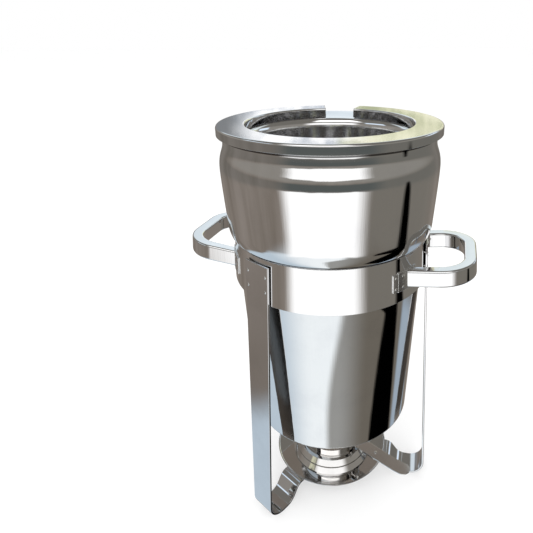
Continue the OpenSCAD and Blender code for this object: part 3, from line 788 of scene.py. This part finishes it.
def fading(value, start, full, fade, end):
    """Rises from 0 to 1 between the first two angles and falls back between the last two."""
    return recipe.rise(value, start, full) * (1 - recipe.rise(value, fade, end))


def between(value, low, high, soft):
    """1 between two angles and 0 outside them, with soft edges."""
    return fading(value, low - soft, low + soft, high - soft, high + soft)


rightward = along((-sin(FRONT), cos(FRONT), 0))
frontward = along((cos(FRONT), sin(FRONT), 0))
turned = recipe.node("ShaderNodeMath", {"operation": "ARCTAN2"},
                     {0: rightward, 1: frontward}) * degrees(1)
lift = recipe.node("ShaderNodeMath", {"operation": "ARCSINE"}, {0: along((0, 0, 1))}) * degrees(1)
aside = recipe.node("ShaderNodeMath", {"operation": "ABSOLUTE"}, {0: turned})
wobble = (recipe.noise(ray, 3, 1, 0.5) - 0.5) * 8
clouds = recipe.noise(recipe.stretched(ray, (14, 14, 44)), 1, 5, 0.68)
stripes = recipe.noise(recipe.stretched(ray, (2.6, 2.6, 0.2)), 1, 4, 0.55)
front = 1 - recipe.rise(aside, 36, 60)

WALL = shows(0.515, 0.485, 0.46)
WALL_RIGHT = shows(0.44, 0.425, 0.40)
WALL_SHADE = shows(0.43, 0.40, 0.37)
TREES = shows(0.325, 0.34, 0.335)
HAZE = shows(0.54, 0.53, 0.51)
CEILING = shows(0.42, 0.41, 0.39)
PANEL = shows(1.02, 1.02, 1.02)
LAMP = shows(1.2, 1.2, 1.2)
SIDE_LIGHT = shows(0.86, 0.92, 0.98)
GROUND_LEFT = shows(0.70, 0.755, 0.80)
GROUND_FRONT = shows(0.92, 0.94, 0.95)
GROUND_NEAR = shows(0.57, 0.57, 0.56)
GROUND_RIGHT = shows(0.40, 0.38, 0.35)
GROUND_FAR = shows(0.58, 0.63, 0.68)
SLOT = shows(0.02, 0.02, 0.02)
SKY_HIGH = shows(0.86, 0.905, 0.935)
SKY_DULL = shows(0.47, 0.48, 0.49)
SKY_LEFT = shows(0.70, 0.73, 0.77)
SKY_RIGHT = shows(0.82, 0.81, 0.60)
SKY_PATCH = shows(0.66, 0.68, 0.56)
BACK_GROUND = shows(0.48, 0.45, 0.42)

# Walls all round, darker on the right, with trees at eye level and a ceiling.
studio = recipe.mixed(recipe.rise(stripes, 0.3, 0.7), WALL_SHADE, WALL)
studio = recipe.mixed(fading(turned, 26, 48, 112, 150), studio, WALL_RIGHT)
studio = recipe.mixed(between(lift, -16, 0, 3) * (0.35 + 0.65 * front), studio, TREES)
studio = recipe.mixed(recipe.rise(lift, -2, 8) * 0.7, studio, HAZE)
studio = recipe.mixed(recipe.rise(lift, 22, 32), studio, CEILING)

# Ground: blue-grey on the left, white in front and dull on the right.
turn_edge = recipe.rise(lift, -51, -34) * 26 - 6.5
ground = recipe.mixed(recipe.rise(turned, -80, -25), GROUND_LEFT, GROUND_FRONT)
beyond = recipe.mixed(recipe.rise(turned, 6, 52), GROUND_NEAR, GROUND_RIGHT)
ground = recipe.mixed(recipe.rise(turned - turn_edge, -7, 6), ground, beyond)
ground = recipe.mixed(between(turned, 106, 140, 3), ground, GROUND_FAR)
ground_edge = recipe.rise(turned, -92, -72) * 6.5 - 39.5
studio = recipe.mixed(1 - recipe.rise(lift - ground_edge, -2.2, 2.2), studio, ground)

# White panel low in front, white sky above it and lamps higher up.
studio = recipe.mixed(fading(turned, -55, -39, 23, 44)
                      * between(lift + wobble * 0.5, -36, -16.5, 1), studio, PANEL)
studio = recipe.mixed(fading(turned, -52, -34, 26, 46)
                      * between(lift + wobble, 11.5, 28, 1.4), studio, PANEL)
studio = recipe.mixed(between(turned, -58, 28, 8) * between(lift, 40, 66, 3), studio, LAMP)

# Two pale lights at the sides, which show on the feet.
side_light = (between(turned, -102, -62, 3) * between(lift, 27, 37, 1.5)
              + between(turned, 110, 135, 3) * between(lift, 12, 24, 1.5))
studio = recipe.mixed(side_light, studio, SIDE_LIGHT)

# Dark slot on the right, which widens towards the ground.
slot_dip = (1 - recipe.rise(lift, -35.4, -30.5)) * recipe.rise(lift, -36.8, -36.3) * 24
slot_left = 59 + recipe.rise(lift, -56, -26) * 21 - slot_dip
slot_right = 78 - lift * 0.5
studio = recipe.mixed(recipe.rise(turned - slot_left, -2.5, 2.5)
                      * (1 - recipe.rise(turned - slot_right, -2, 2))
                      * between(lift, -64, -12, 2), studio, SLOT)

# Sky behind the station: grey, then clouds, then olive from left to right.
sky = recipe.mixed(recipe.rise(rightward, -0.215, -0.14), SKY_DULL, SKY_LEFT)
olive = recipe.mixed(recipe.rise(clouds, 0.42, 0.54), SKY_PATCH, SKY_RIGHT)
sky = recipe.mixed(recipe.rise(rightward, 0, 0.04), sky, olive)
sky = recipe.mixed(recipe.rise(clouds, 0.42, 0.55) * recipe.rise(rightward, -0.23, -0.12)
                   * (1 - recipe.rise(rightward, 0.02, 0.1) * 0.6), sky, PANEL)
sky = recipe.mixed(recipe.rise(lift, 17, 24) * 0.85, sky, SKY_HIGH)
back = recipe.rise(aside, 136, 150)
studio = recipe.mixed(back * between(lift, 4, 42, 3), studio, sky)
studio = recipe.mixed(back * (1 - recipe.rise(lift, -24, -12)),
                      studio, recipe.mixed(recipe.rise(stripes, 0.35, 0.7), BACK_GROUND, WALL))

seen = recipe.node("ShaderNodeLightPath", {}, {}, "Is Camera Ray")
glossy = recipe.node("ShaderNodeLightPath", {}, {}, "Is Glossy Ray")
colour = recipe.mixed(glossy * (1 - seen), (1, 1, 1), studio)
background = recipe.node("ShaderNodeBackground", {}, {
    "Color": colour, "Strength": 1.15 - seen * 0.15 - glossy * 0.15})
recipe.node("ShaderNodeOutputWorld", {}, {"Surface": background})
bpy.context.scene.cycles.glossy_bounces = 12

# Camera: in front and to the right, a little above the ring, looking down by twenty degrees.
# The lens is shifted so that the station stands where it does in the photograph.

PHOTO_SIDE = 533
FOCAL = 466.1
CENTRE_X, CENTRE_Y = 330.3, 206.7
CAMERA_AWAY = 625.6
CAMERA_HIGH = 684.9
TILT = radians(20)
ROLL = radians(-0.379)

camera = bpy.data.cameras.new("camera")
camera.sensor_width = 36
camera.lens = camera.sensor_width * FOCAL / PHOTO_SIDE
camera.shift_x = (PHOTO_SIDE / 2 - CENTRE_X) / PHOTO_SIDE
camera.shift_y = (CENTRE_Y - PHOTO_SIDE / 2) / PHOTO_SIDE
camera.clip_start, camera.clip_end = 0.02, 30
camera_object = bpy.data.objects.new("camera", camera)
bpy.context.collection.objects.link(camera_object)
camera_place = Vector((cos(FRONT) * CAMERA_AWAY, sin(FRONT) * CAMERA_AWAY, CAMERA_HIGH)) / 1000
camera_object.matrix_world = (Matrix.Translation(camera_place)
                              @ Matrix.Rotation(FRONT + pi / 2, 4, "Z")
                              @ Matrix.Rotation(pi / 2 - TILT, 4, "X")
                              @ Matrix.Rotation(ROLL, 4, "Z"))
bpy.context.scene.camera = camera_object
bpy.context.scene.view_settings.view_transform = "Standard"
